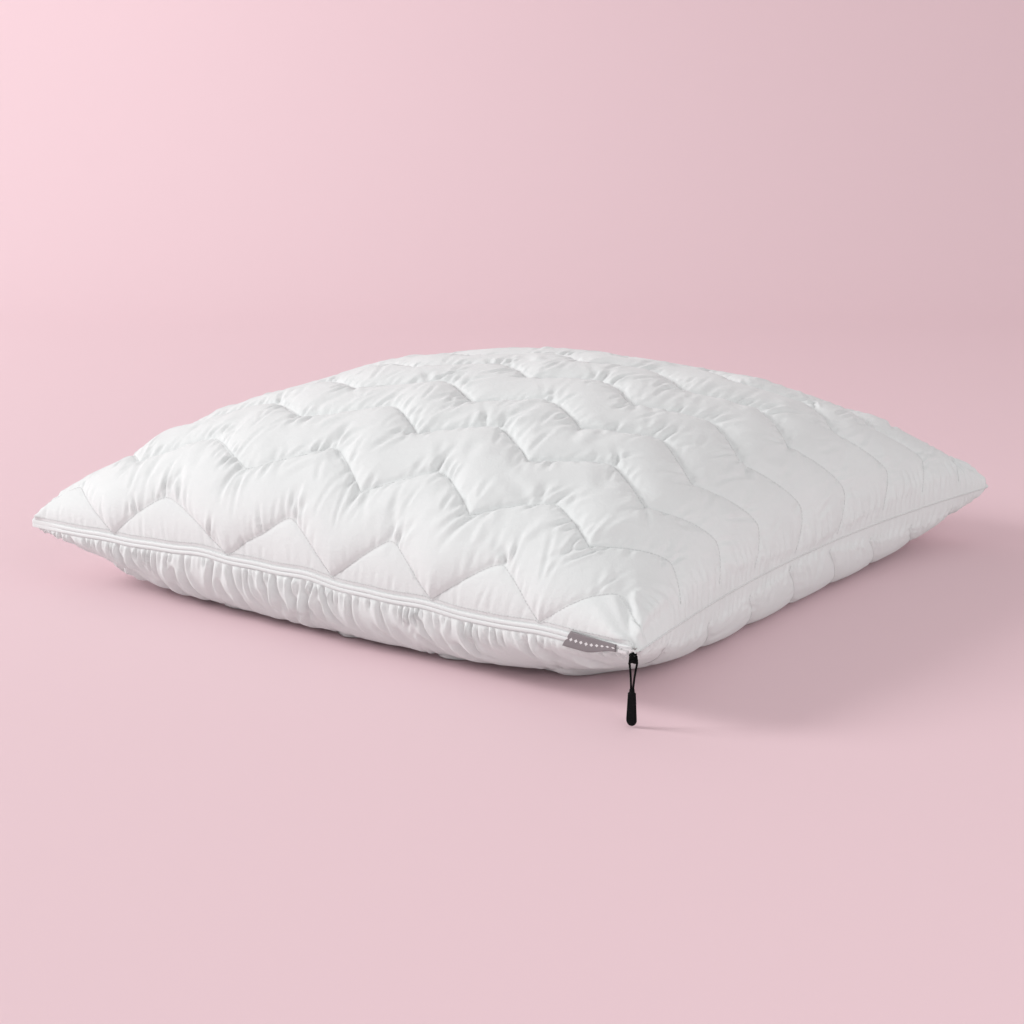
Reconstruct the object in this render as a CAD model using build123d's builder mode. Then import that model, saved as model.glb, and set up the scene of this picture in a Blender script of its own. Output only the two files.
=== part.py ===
"""Large square bed pillow: a quilted cover with a zip, over a filled inner bag.

Millimetres. +X runs along the zip towards the corner where the zip closes, -Y
is the zip side, +Z is up and z = 0 is the surface that the pillow lies on. The
origin is at the middle of the pillow's resting face.
"""

import os
from math import cos, pi, radians, sin, sqrt, tan

from build123d import *

os.makedirs("parts", exist_ok=True)

# The pillow
HALF = 360.0  # half the distance between two neighbouring corners
WAIST = 0.093  # how far the three sides without a zip pull in, as a share of HALF
SEAM_Z = 60.0  # height of the seam and of the zip
RISE = 153.5  # from the seam up to the crown
CROWN_POWER = 0.41  # how steeply the upper half swells from the seam
BELLY = 115.0  # depth the lower half would have if nothing flattened it
BELLY_POWER = 0.34
CROWN_SHARE = 0.988  # the crown is flat above this share of the rise
LEVELS = 7  # level outlines that each half is lofted through
EDGE_STEPS = 10  # steps along one side of an outline

# The cover's layers and the bag inside, measured inwards from the outer face
FACE_CLOTH = 1.2
WADDING = 6.0
BACKING = 1.0
TICKING = 1.0  # the inner bag's cloth
BAG_GAP = 6.0  # the bag is cut smaller than the cover by this much all round
FILL_GAP = 0.4  # keeps the fill's plain solid clear of the bag

# The zip
ZIP_Y = -HALF
ZIP_START = -347.0
ZIP_END = 357.0
SLOT_HALF = 4.6  # half the height of the opening that the zip fills
COIL_GAP = 0.6  # from the zip's centre line to the coil
COIL_SIDE = 2.0
TAPE_THICK = 0.6
TAPE_FRONT = ZIP_Y + 0.2
TAPE_DEPTH = 12.0
BOTTOM_STOP = 5.0
TOP_STOP = 3.5
STOP_SHY = 1.0  # how far short of the tape's end each stop ends
OPENING_DEPTH = 20.0  # deeper than the cover's layers, so the opening cuts them all
OPENING_Y = ZIP_Y + 4

# The slider, where it rests with the zip closed
SLIDER_X = 347.5
SLIDER_LONG = 11.0
PLATE_THICK = 1.2
PLATE_FRONT = ZIP_Y - 1.3
PLATE_CORNER = 1.4
PLATE_EDGE = 0.35
NOSE_HALF = 4.2  # half the front plate's height where the two coils go in
TAIL_HALF = 3.2  # and where they come out joined
BACK_HALF = 3.4  # half the back plate's height
BACK_THICK = 1.0
POST_LONG = 5.0
POST_AHEAD = 1.0  # how far the post stands towards the slider's nose
RUNNING_GAP = 0.3
BRIDGE_HALF = 4.4
BRIDGE_THICK = 0.9
BRIDGE_WIDE = 2.2
BRIDGE_LEG = 1.0
BRIDGE_CORNER = 1.3
BRIDGE_ROOM = 0.9  # from the tab's axis to the arch's inner face
TAB_AXIS_Y = ZIP_Y - 3.8

# The pull tab
TAB_THICK = 1.0
TAB_HALF = 2.5
TAB_EYE = 5.2  # from the tab's pivot to where its two arms join
TAB_EYE_WIDE = 3.0
HOLE_X = SLIDER_X + 9.0
HOLE_RADIUS = 1.6
RING_RADIUS = 2.7

# The cord and grip
CORD = 1.7
CORD_DROP = 28.9  # from the tab's hole to the grip's top
CORD_SUNK = 1.6  # how far the cord's ends go into the grip
STRAIGHT_RADIUS = 400.0  # the largest bend in the cord's tube
GRIP_TIP_Z = 1.2
GRIP_TOP_WIDE = 6.4
GRIP_WIDE = 8.8
GRIP_THICK = 3.6
GRIP_Y = TAB_AXIS_Y - 0.8
GRIP_END_CORNER = 3.6
GRIP_TOP_CORNER = 1.2
GRIP_EDGE = 1.0
NECK_WIDE = 4.4
NECK_THICK = 2.9
NECK_TALL = 2.6
HITCH_DROP = 6.1  # from the tab's hole to the middle of the hitch
HITCH_Y = TAB_AXIS_Y - 0.35
HITCH_SIZE = (7.0, 4.6, 4.4)
HITCH_EDGE = 1.6

# The label
LABEL_LONG = 47.0
LABEL_TALL = 10.0
LABEL_THICK = 0.5
LABEL_SLANT = 4.0
LABEL_BELOW = 0.3  # from the zip's opening down to the label's top edge
LABEL_PAST = 2.5  # from the slider back to the label's end
LABEL_Y = ZIP_Y - 0.35

# The overlocked seams
THREAD_RADIUS = 0.6
THREAD_OUT = 0.8
THREAD_SHORT = 7.0  # how far short of each corner a seam's thread stops


def outline_point(angle, shrink, half):
    """A point of a level outline: shrink is 0 at the seam, and near 1 at the crown."""
    pinch = (cos(angle) * sin(angle)) ** 2
    reach_squared = 1 - shrink
    if pinch > 1e-9:
        reach_squared = (1 - sqrt(max(0.0, 1 - 4 * pinch * (1 - shrink)))) / (2 * pinch)
    u = sqrt(reach_squared) * cos(angle)
    v = sqrt(reach_squared) * sin(angle)
    x = half * u * (1 - WAIST * (1 - v * v))
    y = half * (v - WAIST * (1 - u * u) * (1 + v) / 2)
    return (x, y)


def edge_angles(side):
    """Angles along one side's outline, crowded towards its two corners."""
    shares = [2 * step / EDGE_STEPS - 1 for step in range(EDGE_STEPS + 1)]
    return [pi / 4 * (0.85 * sin(pi / 2 * t) + 0.15 * t) + side * pi / 2 for t in shares]


def half_pillow(inset, upper, extra_plan=0.0):
    """One half of the pillow, inset from its outer face, from the seam plane to its end.

    The upper half ends at the crown, and the lower half where it lies flat on the bed.
    """
    depth = (RISE if upper else BELLY) - inset
    power = CROWN_POWER if upper else BELLY_POWER
    last = CROWN_SHARE if upper else (SEAM_Z - inset) / depth
    plan = HALF - inset - extra_plan
    with BuildPart() as half:
        for level in range(LEVELS + 1):
            step = level / LEVELS
            share = last * (0.6 * step + 0.4 * sin(pi / 2 * step))
            height = SEAM_Z + depth * share * (1 if upper else -1)
            shrink = share ** (1 / power)
            with BuildSketch(Plane.XY.offset(height)):
                with BuildLine():
                    for side in range(4):
                        angles = edge_angles(side)
                        Spline(*[outline_point(angle, shrink, plan) for angle in angles])
                make_face()
        loft()
    return half.part


def layer(outer_inset, thick, upper, extra_plan=0.0):
    """One layer of cloth or wadding over one half, as a closed shell."""
    with BuildPart() as shell:
        add(half_pillow(outer_inset, upper, extra_plan))
        add(half_pillow(outer_inset + thick, upper, extra_plan), mode=Mode.SUBTRACT)
    return shell.part


def cover_layer(outer_inset, thick, upper):
    """A layer of the cover, which leaves the opening that the zip fills."""
    with BuildPart() as piece:
        add(layer(outer_inset, thick, upper))
        with Locations(((ZIP_START + ZIP_END) / 2, OPENING_Y, SEAM_Z)):
            Box(ZIP_END - ZIP_START, OPENING_DEPTH, 2 * SLOT_HALF, mode=Mode.SUBTRACT)
    return piece.part


def save(shape, name):
    shape.label = name
    export_step(shape, f"parts/{name}.step")


def cover():
    """The quilted cover: face cloth, wadding and backing, above and below the seam."""
    for side, upper in (("top", True), ("bottom", False)):
        save(cover_layer(0.0, FACE_CLOTH, upper), f"{side}_face_fabric")
        save(cover_layer(FACE_CLOTH, WADDING, upper), f"{side}_wadding")
        save(cover_layer(FACE_CLOTH + WADDING, BACKING, upper), f"{side}_backing")


def inner_pillow():
    """The filled bag: two halves of ticking, and the loose fibre that fills them."""
    bag_inset = FACE_CLOTH + WADDING + BACKING
    save(layer(bag_inset, TICKING, True, BAG_GAP), "inner_bag_upper")
    save(layer(bag_inset, TICKING, False, BAG_GAP), "inner_bag_lower")
    fill_inset = bag_inset + TICKING + FILL_GAP
    with BuildPart() as fibre_fill:
        add(half_pillow(fill_inset, False, BAG_GAP))
        add(half_pillow(fill_inset, True, BAG_GAP))
    save(fibre_fill.part, "fibre_fill")


def zip_strip(y_low, y_high, z_low, z_high, x_low, x_high):
    """A straight strip along the zip; the heights are from the zip's centre line."""
    middle = ((x_low + x_high) / 2, (y_low + y_high) / 2, SEAM_Z + (z_low + z_high) / 2)
    with BuildPart() as strip:
        with Locations(middle):
            Box(x_high - x_low, y_high - y_low, abs(z_high - z_low))
    return strip.part


def zip_half(side, name):
    """One tape, folded inwards along the cover's edge, and the coil sewn behind it."""
    tape_back = TAPE_FRONT + TAPE_THICK
    fold = SLOT_HALF - TAPE_THICK
    with BuildPart() as tape:
        add(zip_strip(TAPE_FRONT, tape_back, side * COIL_GAP, side * SLOT_HALF, ZIP_START, ZIP_END))
        add(
            zip_strip(
                TAPE_FRONT, TAPE_FRONT + TAPE_DEPTH, side * fold, side * SLOT_HALF, ZIP_START, ZIP_END
            )
        )
    save(tape.part, f"zip_tape_{name}")
    coil_far = side * (COIL_GAP + COIL_SIDE)
    coil = zip_strip(
        tape_back,
        tape_back + COIL_SIDE,
        side * COIL_GAP,
        coil_far,
        ZIP_START + BOTTOM_STOP,
        ZIP_END - TOP_STOP,
    )
    save(coil, f"zip_coil_{name}")


def zip_stops():
    """The clip across both coils where the zip opens to, and the two where it closes."""
    low = TAPE_FRONT + TAPE_THICK
    high = low + COIL_SIDE
    reach = COIL_GAP + COIL_SIDE
    end_stop = zip_strip(low, high, -reach, reach, ZIP_START + STOP_SHY, ZIP_START + BOTTOM_STOP)
    save(end_stop, "zip_end_stop")
    with BuildPart() as top_stops:
        add(zip_strip(low, high, COIL_GAP, reach, ZIP_END - TOP_STOP, ZIP_END - STOP_SHY))
        mirror(about=Plane.XY.offset(SEAM_Z))
    save(top_stops.part, "zip_top_stops")


def slider():
    """The slider: a front plate and a back plate on one post, with two back flanges."""
    coil_back = TAPE_FRONT + TAPE_THICK + COIL_SIDE
    back_face = coil_back + RUNNING_GAP
    flange_low = COIL_GAP + COIL_SIDE + RUNNING_GAP
    flange_front = TAPE_FRONT + TAPE_THICK + RUNNING_GAP
    nose = SLIDER_LONG / 2
    with BuildPart() as slider_body:
        front_plane = Plane(origin=(SLIDER_X, PLATE_FRONT, SEAM_Z), x_dir=(1, 0, 0), z_dir=(0, 1, 0))
        with BuildSketch(front_plane) as plate:
            Polygon(
                (-nose, -TAIL_HALF),
                (0, -TAIL_HALF),
                (nose, -NOSE_HALF),
                (nose, NOSE_HALF),
                (0, TAIL_HALF),
                (-nose, TAIL_HALF),
                align=None,
            )
            fillet(plate.vertices(), PLATE_CORNER)
        extrude(amount=PLATE_THICK)
        chamfer(slider_body.faces().sort_by(Axis.Y)[0].edges(), PLATE_EDGE)
        with Locations((SLIDER_X, back_face + BACK_THICK / 2, SEAM_Z)):
            Box(SLIDER_LONG, BACK_THICK, 2 * BACK_HALF)
        with Locations((SLIDER_X + POST_AHEAD, (ZIP_Y + back_face) / 2, SEAM_Z)):
            Box(POST_LONG, back_face - ZIP_Y + BACK_THICK, 2 * (COIL_GAP - RUNNING_GAP))
        flange_y = (flange_front + back_face) / 2
        flange_z = (flange_low + BACK_HALF) / 2
        with Locations((SLIDER_X, flange_y, SEAM_Z + flange_z), (SLIDER_X, flange_y, SEAM_Z - flange_z)):
            Box(SLIDER_LONG, back_face - flange_front, BACK_HALF - flange_low)
    save(slider_body.part, "slider_body")


def bridge():
    """The arch on the slider's front that holds the tab's bar."""
    foot = (SLIDER_X, PLATE_FRONT, SEAM_Z - BRIDGE_WIDE / 2)
    plane = Plane(origin=foot, x_dir=(1, 0, 0), z_dir=(0, 0, 1))
    height = PLATE_FRONT - TAB_AXIS_Y + BRIDGE_ROOM + BRIDGE_THICK
    inner = BRIDGE_HALF - BRIDGE_LEG
    with BuildPart() as slider_bridge:
        with BuildSketch(plane) as arch:
            with Locations((0, -height / 2)):
                Rectangle(2 * BRIDGE_HALF, height)
            fillet(arch.vertices().group_by(Axis.Y)[0], BRIDGE_CORNER)
            with Locations((0, -(height - BRIDGE_THICK) / 2)):
                Rectangle(2 * inner, height - BRIDGE_THICK, mode=Mode.SUBTRACT)
        extrude(amount=BRIDGE_WIDE)
    save(slider_bridge.part, "slider_bridge")


def pull_tab():
    """The small tab: a bar under the bridge, two arms, and a ring for the cord."""
    plane = Plane(origin=(SLIDER_X, TAB_AXIS_Y + TAB_THICK / 2, SEAM_Z), x_dir=(1, 0, 0), z_dir=(0, -1, 0))
    hole_at = HOLE_X - SLIDER_X
    with BuildPart() as tab:
        with BuildSketch(plane):
            with Locations((hole_at / 2, 0)):
                Rectangle(hole_at, 2 * TAB_HALF)
            with Locations((hole_at, 0)):
                Circle(RING_RADIUS)
            with Locations((TAB_EYE / 2, 0)):
                Rectangle(TAB_EYE, TAB_EYE_WIDE, mode=Mode.SUBTRACT)
            with Locations((hole_at, 0)):
                Circle(HOLE_RADIUS, mode=Mode.SUBTRACT)
        extrude(amount=TAB_THICK)
        with Locations((SLIDER_X, TAB_AXIS_Y, SEAM_Z)):
            Cylinder(TAB_THICK / 2, 2 * TAB_HALF)
    save(tab.part, "pull_tab")


# The cord's route from the grip, up, through the tab's hole from the front, and down again,
# as offsets from the middle of the hole: along the zip, out from the pillow, and up.
CORD_ROUTE = [
    (-0.80, 0.80, -CORD_DROP - CORD_SUNK),
    (-1.15, 0.95, -22.0),
    (-2.10, 1.45, -13.5),
    (-2.75, 1.80, -7.0),
    (-1.70, 1.95, -2.8),
    (0.00, 1.65, 0.0),
    (0.00, -1.65, 0.0),
    (1.75, -1.70, -2.9),
    (2.80, -0.90, -7.2),
    (2.05, 0.25, -13.9),
    (1.20, 0.65, -22.2),
    (0.85, 0.80, -CORD_DROP - CORD_SUNK),
]


def bend_radii(points):
    """As large a bend at each corner as its two runs allow."""
    radii = []
    for before, corner, after in zip(points, points[1:], points[2:]):
        run_in = corner - before
        run_out = after - corner
        turn = radians(run_in.get_angle(run_out))
        radii.append(0.45 * min(run_in.length, run_out.length) / tan(turn / 2))
    return radii


def cord_tube(diameter):
    """The cord as a tube along straight runs joined by tangent arcs."""
    points = [Vector(HOLE_X + x, TAB_AXIS_Y - y, SEAM_Z + z) for x, y, z in CORD_ROUTE]
    radii = [min(radius, STRAIGHT_RADIUS) for radius in bend_radii(points)]
    with BuildPart() as tube:
        with BuildLine() as path:
            FilletPolyline(points, radius=radii)
        route = path.wires()[0]
        with BuildSketch(Plane(origin=route @ 0, z_dir=route % 0)):
            Circle(diameter / 2)
        sweep()
    return tube.part, route.length, radii


def puller():
    """The cord loop, the hitch that gathers it under the tab, and the moulded grip."""
    cord, length, radii = cord_tube(CORD)
    save(cord, "pull_cord")
    ideal = pi * CORD**2 / 4 * length
    print(f"cord {length:.1f} mm long, volume {cord.volume:.1f} of {ideal:.1f}")
    print("cord bends", [round(radius, 1) for radius in radii])

    with BuildPart() as cord_hitch:
        with Locations((HOLE_X, HITCH_Y, SEAM_Z - HITCH_DROP)):
            Box(*HITCH_SIZE)
        fillet(cord_hitch.edges(), HITCH_EDGE)
        add(cord_tube(CORD + 0.02)[0], mode=Mode.SUBTRACT)
    save(cord_hitch.part, "cord_hitch")

    grip_top = SEAM_Z - CORD_DROP - NECK_TALL
    plane = Plane(origin=(HOLE_X, GRIP_Y + GRIP_THICK / 2, 0), x_dir=(1, 0, 0), z_dir=(0, -1, 0))
    widest = GRIP_TIP_Z + GRIP_WIDE / 2 + 0.6
    with BuildPart() as pull_grip:
        with BuildSketch(plane) as outline:
            Polygon(
                (-GRIP_TOP_WIDE / 2, grip_top),
                (GRIP_TOP_WIDE / 2, grip_top),
                (GRIP_WIDE / 2, widest),
                (GRIP_WIDE / 2, GRIP_TIP_Z),
                (-GRIP_WIDE / 2, GRIP_TIP_Z),
                (-GRIP_WIDE / 2, widest),
                align=None,
            )
            fillet(outline.vertices().group_by(Axis.Y)[0], GRIP_END_CORNER)
            fillet(outline.vertices().group_by(Axis.Y)[-1], GRIP_TOP_CORNER)
        extrude(amount=GRIP_THICK)
        fillet(pull_grip.faces().sort_by(Axis.Y)[0].edges(), GRIP_EDGE)
        fillet(pull_grip.faces().sort_by(Axis.Y)[-1].edges(), GRIP_EDGE)
        with BuildSketch(Plane.XY.offset(grip_top)):
            with Locations((HOLE_X, GRIP_Y)):
                RectangleRounded(NECK_WIDE, NECK_THICK, GRIP_TOP_CORNER)
        extrude(amount=NECK_TALL)
    save(pull_grip.part, "pull_grip")


def label():
    """The folded cloth label, sewn in just below the zip and hanging down."""
    high = SEAM_Z - SLOT_HALF - LABEL_BELOW
    right = SLIDER_X - SLIDER_LONG / 2 - LABEL_PAST
    left = right - LABEL_LONG
    plane = Plane(origin=(0, LABEL_Y, 0), x_dir=(1, 0, 0), z_dir=(0, -1, 0))
    with BuildPart() as side_label:
        with BuildSketch(plane):
            Polygon(
                (left + LABEL_SLANT, high),
                (right, high),
                (right, high - LABEL_TALL),
                (left, high - LABEL_TALL),
                align=None,
            )
        extrude(amount=LABEL_THICK)
    save(side_label.part, "side_label")


def seam_thread(name, start, middle, end):
    """The overlock thread along one seam, just outside the two panels' edges."""
    with BuildPart() as thread:
        with BuildLine() as path:
            ThreePointArc(start, middle, end)
        with BuildSketch(Plane(origin=path.line @ 0, z_dir=path.line % 0)):
            Circle(THREAD_RADIUS)
        sweep()
    save(thread.part, f"seam_thread_{name}")


def seam_threads():
    """The three sewn seams; the zip closes the fourth side."""
    reach = HALF - THREAD_SHORT
    shy = 1 - (reach / HALF) ** 2
    end_out = HALF * (1 - WAIST * shy) + THREAD_OUT
    middle_out = HALF * (1 - WAIST) + THREAD_OUT
    for name, side in (("right", 1), ("left", -1)):
        seam_thread(
            name,
            (side * end_out, -reach, SEAM_Z),
            (side * middle_out, 0, SEAM_Z),
            (side * end_out, reach, SEAM_Z),
        )
    seam_thread("back", (-reach, end_out, SEAM_Z), (0, middle_out, SEAM_Z), (reach, end_out, SEAM_Z))


cover()
inner_pillow()
zip_half(1, "upper")
zip_half(-1, "lower")
zip_stops()
slider()
bridge()
pull_tab()
puller()
label()
seam_threads()
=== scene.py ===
"""A large square bed pillow with a quilted, zipped cover, on a pale pink floor.

Metres, in the CAD model's frame: +X along the zip, -Y the zip side, +Z up. The
cover's two panels are grids of cloth. Their folds are laid out first, and then a
small cloth solver relaxes them: the quilting and the seams hold the cloth down,
the wadding holds it up, and a little spare length lets it wrinkle in between.
"""

from math import cos, pi, sin, sqrt

import bpy
import numpy as np
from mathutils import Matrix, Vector


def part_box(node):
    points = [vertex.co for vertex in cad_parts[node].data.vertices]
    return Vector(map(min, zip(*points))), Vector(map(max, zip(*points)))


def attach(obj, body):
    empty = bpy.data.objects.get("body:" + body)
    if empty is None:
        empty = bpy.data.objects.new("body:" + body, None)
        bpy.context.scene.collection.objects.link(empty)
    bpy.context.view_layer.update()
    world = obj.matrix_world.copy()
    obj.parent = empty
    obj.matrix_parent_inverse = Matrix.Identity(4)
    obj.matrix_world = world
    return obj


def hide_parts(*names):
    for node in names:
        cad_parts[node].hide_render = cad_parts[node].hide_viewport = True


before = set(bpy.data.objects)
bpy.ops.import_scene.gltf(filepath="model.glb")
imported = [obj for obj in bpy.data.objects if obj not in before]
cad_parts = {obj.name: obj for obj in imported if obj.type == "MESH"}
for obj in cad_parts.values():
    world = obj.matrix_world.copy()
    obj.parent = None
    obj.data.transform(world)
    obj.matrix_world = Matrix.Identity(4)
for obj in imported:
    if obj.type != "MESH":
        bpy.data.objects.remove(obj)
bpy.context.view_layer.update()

# ---- driving sizes
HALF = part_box("top_face_fabric")[1].y
SEAM_Z = (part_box("zip_coil_upper")[0].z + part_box("zip_coil_lower")[1].z) / 2
ZIP_Y = -HALF
FLAT_HALF = 0.4

# The filled form: its height, how full its two faces are, and how far its sides draw in.
RISE = 0.1475
CROWN_POWER = 0.4074
BELLY = 1.9635
BELLY_POWER = 0.3463
BELLY_FLAT = 6.0
CORNER_LIFT = 0.70
FRONT_LIFT = 0.24
FRONT_REACH = 0.11
WAIST = 0.093

# The quilting: its chevron, and each line's distance from the zip along the cloth.
PERIOD = 0.122
ZIGZAG = 0.0205
SOFT_CORNER = 0.007
WIDER_LEFT = 0.25
WIDER_OVER = 0.12
TOP_PEAK_AT = -0.0105
BOTTOM_PEAK_AT = -0.035
TOP_LINES = (0.0235, 0.105, 0.193, 0.276, 0.369, 0.466, 0.570, 0.660, 0.745)
BOTTOM_LINES = (0.088, 0.176, 0.264, 0.352, 0.440, 0.528, 0.616, 0.704)
TOP_PAD = 0.0068
BOTTOM_PAD = 0.0058

# The grids of cloth: their steps, the cloth's spare length and the solver's rounds.
COLUMNS = 440
ROWS_PER_BAND = 42
SPARE = 0.012
ROUNDS = 80
TOP_SEED = 31
BOTTOM_SEED = 57

# The zip's band, and where along it the gathers keep back from the hanging puller.
TAPE_HALF = 0.0034
TAPE_SHORT = 0.0035
TAPE_SHIFT = 0.0025
TAPE_FADE = 0.005
LEFT_CLEAR = -0.28
RIGHT_CLEAR = 0.305

# The cord's route: offsets from the middle of the tab's hole, along the zip, out and up.
HOLE = Vector((0.3565, -0.3638, SEAM_Z))
CORD = 0.0017
CORD_ROUTE = (
    (-0.00080, 0.00080, -0.03050),
    (-0.00090, 0.00095, -0.02200),
    (-0.00150, 0.00145, -0.01350),
    (-0.00200, 0.00180, -0.00700),
    (-0.00140, 0.00195, -0.00280),
    (0.00000, 0.00165, 0.00000),
    (0.00000, -0.00165, 0.00000),
    (0.00205, -0.00170, -0.00290),
    (0.00345, -0.00090, -0.00720),
    (0.00260, 0.00025, -0.01390),
    (0.00145, 0.00065, -0.02220),
    (0.00085, 0.00080, -0.03050),
)


# ---- camera
def camera():
    data = bpy.data.cameras.new("camera")
    data.sensor_width = 36
    data.lens = 63.12
    data.clip_start = 0.01
    eye = Vector((1.05496, -1.48660, 0.4892))
    ahead = Vector((-0.57053, 0.78729, -0.23382))
    obj = bpy.data.objects.new("camera", data)
    obj.location = eye
    obj.rotation_euler = ahead.to_track_quat("-Z", "Y").to_euler()
    bpy.context.collection.objects.link(obj)
    bpy.context.scene.camera = obj


camera()


# ---- the pillow's form
def smooth(t):
    t = np.clip(t, 0, 1)
    return t * t * (3 - 2 * t)


def run_length(path):
    """The distance along a path to each of its points."""
    return np.concatenate([[0], np.cumsum(np.linalg.norm(np.diff(path, axis=0), axis=1))])


def at_length(path, arc, at):
    """The values of a path at given distances along it."""
    return np.stack([np.interp(at, arc, path[:, axis]) for axis in range(3)], -1)


def plan(u, v):
    """Where a point of the square lies, seen from above: the zip side stays straight."""
    x = HALF * u * (1 - WAIST * (1 - v * v))
    y = HALF * (v - WAIST * (1 - u * u) * (1 + v) / 2)
    left_blunt, right_blunt = 0.020, 0.006
    blunt = 1 - np.where(u < 0, left_blunt, right_blunt) * (u * v) ** 16
    return x * blunt, y * (1 - (1 - blunt) * (1 + v) / 2)


def mound(x, height, at, width):
    """A soft rise along the zip, or a dip where its height is negative."""
    return height * np.exp(-(((x - at) / width) ** 2))


def zip_lift(x):
    """How far the zip's line rises and falls from straight, as soft cloth does."""
    ends = np.clip(1 - (x / HALF) ** 2, 0, 1) ** 1.5
    arch = mound(x, height=0.0062, at=-0.10, width=0.17)
    hump = mound(x, height=0.0035, at=0.268, width=0.028)
    dip = mound(x, height=-0.0012, at=0.218, width=0.03)
    wave = 0.0012 * np.sin(x * 47 + 1.1)
    ripple = 0.0006 * np.sin(x * 95)
    return (arch + hump + dip + (wave + ripple)) * ends


def seam_height(u, v):
    """The seam's height: the zip's line in front, and a slight rise along the back."""
    x, _ = plan(u, v)
    back_rise = 0.004
    front = np.clip((1 - v) / 2, 0, 1) ** 3
    other = back_rise * (1 - u * u) * np.clip(v, 0, 1) ** 4
    return SEAM_Z + zip_lift(x) * front + other


def tape_half(x):
    """Half the height of the zip's band: the cover's two edges stay this far apart."""
    return TAPE_HALF * smooth((HALF - TAPE_SHORT - np.abs(x + TAPE_SHIFT)) / TAPE_FADE)


def tape_gap(x, v):
    """How far the zip's band still parts the two faces, away from the zip."""
    return tape_half(x) * np.exp(-(v + 1) / 0.04)


def top_surface(u, v):
    """The upper face's form, without its quilting: u runs along the zip, v away from it."""
    x, y = plan(u, v)
    swell = np.clip((1 - u * u) * (1 - v * v), 0, 1)
    return np.stack([x, y, seam_height(u, v) + tape_gap(x, v) + RISE * swell**CROWN_POWER], -1)


def bottom_surface(u, v):
    """The lower face's form: flat where it lies, and lifted at its corners and under the zip."""
    x, y = plan(u, v)
    depth = BELLY * np.clip((1 - u * u) * (1 - v * v), 0, 1) ** BELLY_POWER
    under_zip = np.exp(-(((v + 1) / FRONT_REACH) ** 2))
    depth = depth * (1 - CORNER_LIFT * (u * v) ** 4 - FRONT_LIFT * under_zip)
    depth = depth / (1 + depth**BELLY_FLAT) ** (1 / BELLY_FLAT)
    return np.stack([x, y, (seam_height(u, v) - tape_gap(x, v)) * (1 - depth)], -1)


def arc_table(surface, along_u):
    """Arc length across the middle of the form, as a table from -1 to 1."""
    steps = np.sin(np.linspace(-pi / 2, pi / 2, 2001))
    zero = np.zeros_like(steps)
    line = surface(steps, zero) if along_u else surface(zero, steps)
    return steps, run_length(line)


def soft_noise(shape, cell, seed):
    """Smooth random values about zero, on a grid, with features about cell steps wide."""
    own = np.random.default_rng(seed)
    rows = int(shape[0] / cell[0]) + 4
    cols = int(shape[1] / cell[1]) + 4
    coarse = own.standard_normal((rows, cols))
    row = np.arange(shape[0]) / cell[0] + 0.5
    col = np.arange(shape[1]) / cell[1] + 0.5
    r, c = row.astype(int), col.astype(int)
    down, along = smooth(row - r)[:, None], smooth(col - c)[None, :]
    near = coarse[r][:, c] * (1 - along) + coarse[r][:, c + 1] * along
    far = coarse[r + 1][:, c] * (1 - along) + coarse[r + 1][:, c + 1] * along
    return near * (1 - down) + far * down


def zigzag(p, peak_at):
    """The quilting's chevron: 1 at its peaks, -1 at its valleys, drawn wider towards the left."""
    half = PERIOD / 2
    drawn = p * (1 - WIDER_LEFT * smooth(-p / WIDER_OVER))
    away = np.abs((drawn - peak_at + half) % PERIOD - half)
    bent = np.sqrt(away**2 + SOFT_CORNER**2) - SOFT_CORNER
    return 1 - 2 * bent / (np.sqrt(half**2 + SOFT_CORNER**2) - SOFT_CORNER)


def corners(peak_at, bend):
    """Where along the zip the chevron's peaks (bend 1) or valleys (bend -1) lie."""
    reach, fine = 0.39, 1561
    at = np.linspace(-reach, reach, fine)
    height = bend * zigzag(at, peak_at)
    here = height[1:-1]
    tip = (here > height[:-2]) & (here >= height[2:]) & (here > 0.9)
    return at[1:-1][tip]


# ---- one quilted panel as a grid
def true_to_length(surface, u_share, v, arc):
    """Moves the rows nearest the zip to where their length of cloth puts them."""
    reach, fade = 0.13, 0.062
    fine = -1 + 0.6 * np.linspace(0, 1, 500) ** 3
    near = arc[:, 0] < reach
    for column in range(arc.shape[1]):
        run = run_length(surface(np.full_like(fine, u_share[0, column]), fine))
        length = np.interp(v[near, column], fine, run)
        weight = np.exp(-((arc[near, column] / fade) ** 2))
        v[near, column] = np.interp(weight * arc[near, column] + (1 - weight) * length, run, fine)
    return v


def puff(share):
    """A puff's height between two lines of stitches, 0 at the lines and 1 between them."""
    roundness = 0.58
    round_part = 1 - np.abs(2 * share - 1) ** 2.8
    steep_part = np.sin(pi * np.clip(share, 0, 1)) ** 0.42
    return roundness * round_part + (1 - roundness) * steep_part


def panel_rows(p, total, lines, peak_at, first_rows, pad, first_pad):
    """Each row's distance from the zip, its wadding's height, and whether stitches hold it."""
    chevron = ZIGZAG * zigzag(p, peak_at)
    wobble = 0.0012 * soft_noise((len(lines), COLUMNS + 1), (1, 12), 5)
    edges = [np.zeros_like(p)]
    edges += [at + chevron + wobble[k] for k, at in enumerate(lines)]
    edges += [np.full_like(p, total)]
    counts = [first_rows] + [ROWS_PER_BAND] * len(lines)
    usual_width = 0.078
    rows, height, held = [], [], []
    for k, count in enumerate(counts):
        width = edges[k + 1] - edges[k]
        full = pad * np.clip(width / usual_width, 0.1, 1.12) * (first_pad if k == 0 else 1)
        for step in range(count):
            share = step / count
            rows.append(edges[k] + width * share)
            height.append(full * puff(share))
            held.append(step == 0)
    rows.append(edges[-1])
    height.append(np.zeros_like(p))
    held.append(True)
    return np.array(rows), np.array(height), np.array(held)


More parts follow.
